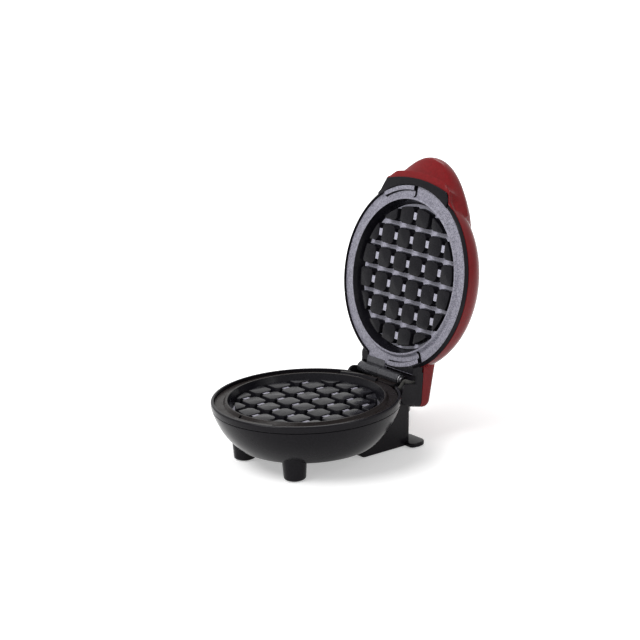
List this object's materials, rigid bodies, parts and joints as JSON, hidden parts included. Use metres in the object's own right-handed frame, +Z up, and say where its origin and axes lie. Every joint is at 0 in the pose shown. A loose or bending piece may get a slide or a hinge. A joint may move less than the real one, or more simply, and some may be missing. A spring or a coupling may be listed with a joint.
{
  "type": "round waffle maker",
  "caption": "Round countertop waffle maker with a hinged lid, studded cooking plates, a bowl-shaped base on feet and a mains cord.",
  "frame": {"origin": "on the counter, under the middle of the open appliance without its free cord", "axes": "+Z up, the front where the lid's handle comes down at -Y, the hinge towards +Y"},
  "size_m": [0.2028, 0.2369, 0.1817],
  "materials": {
    "black_plastic": "glossy black moulded plastic",
    "red_plastic": "glossy red moulded plastic",
    "cast_plate": "cast, with a dark non-stick coat",
    "steel": "plain steel",
    "aluminised_sheet": "aluminised sheet steel",
    "element_sheath": "dark annealed steel sheath",
    "rubber": "matte black rubber",
    "cord_jacket": "soft black jacket and mouldings",
    "phenolic": "dark brown phenolic",
    "clear_red": "clear red",
    "lamp_glass": "small neon lamp",
    "glass_fibre_sleeve": "woven glass-fibre sleeve",
    "white_nylon": "white nylon",
    "blade_metal": "bright nickel-plated metal"
  },
  "bodies": {
    "base": {"base_bowl": "black_plastic", "front_foot_pad_left": "rubber", "front_foot_pad_right": "rubber", "lower_bezel_ring": "black_plastic", "lower_plate": "cast_plate", "lower_heating_element": "element_sheath", "lower_heat_reflector": "aluminised_sheet", "lower_reflector_screw": "steel", "thermostat": "phenolic", "thermostat_bracket": "steel", "bottom_cover": "black_plastic", "bottom_cover_screw_1": "steel", "bottom_cover_screw_2": "steel", "bottom_cover_screw_3": "steel", "lower_plate_screw_1": "steel", "lower_plate_screw_2": "steel", "lower_plate_screw_3": "steel", "hinge_pedestal": "black_plastic", "pedestal_screw_left": "steel", "pedestal_screw_right": "steel", "foot_plate": "black_plastic", "foot_plate_screw_left": "steel", "foot_plate_screw_right": "steel", "rear_foot_pad_left": "rubber", "rear_foot_pad_right": "rubber", "hinge_pin": "steel", "pin_clip": "steel", "cord_strain_relief": "cord_jacket", "cord_clamp": "white_nylon", "cord_clamp_screw": "steel", "wire_connector_live": "white_nylon", "wire_connector_neutral": "white_nylon", "mains_tail": "cord_jacket", "harness_sleeve_base": "glass_fibre_sleeve", "cord_free": "cord_jacket", "cord_coil": "cord_jacket", "cord_tie": "rubber", "plug_body": "cord_jacket", "plug_blade_left": "blade_metal", "plug_blade_right": "blade_metal"},
    "lid": {"lid_shell": "red_plastic", "lid_inner_housing": "black_plastic", "upper_plate": "cast_plate", "upper_heating_element": "element_sheath", "upper_heat_reflector": "aluminised_sheet", "upper_reflector_screw": "steel", "thermal_fuse": "white_nylon", "thermal_fuse_clip": "steel", "upper_plate_screw_1": "steel", "upper_plate_screw_2": "steel", "upper_plate_screw_3": "steel", "indicator_lens": "clear_red", "indicator_lamp": "lamp_glass", "lid_screw_left": "steel", "lid_screw_right": "steel", "harness_sleeve_lid": "glass_fibre_sleeve"}
  },
  "joints": [
    {"name": "lid_hinge", "type": "hinge", "parent": "base", "child": "lid", "pos_m": [0, 0.0376, 0.04185], "axis": [1, 0, 0], "range_deg": [0, 103.4]}
  ]
}
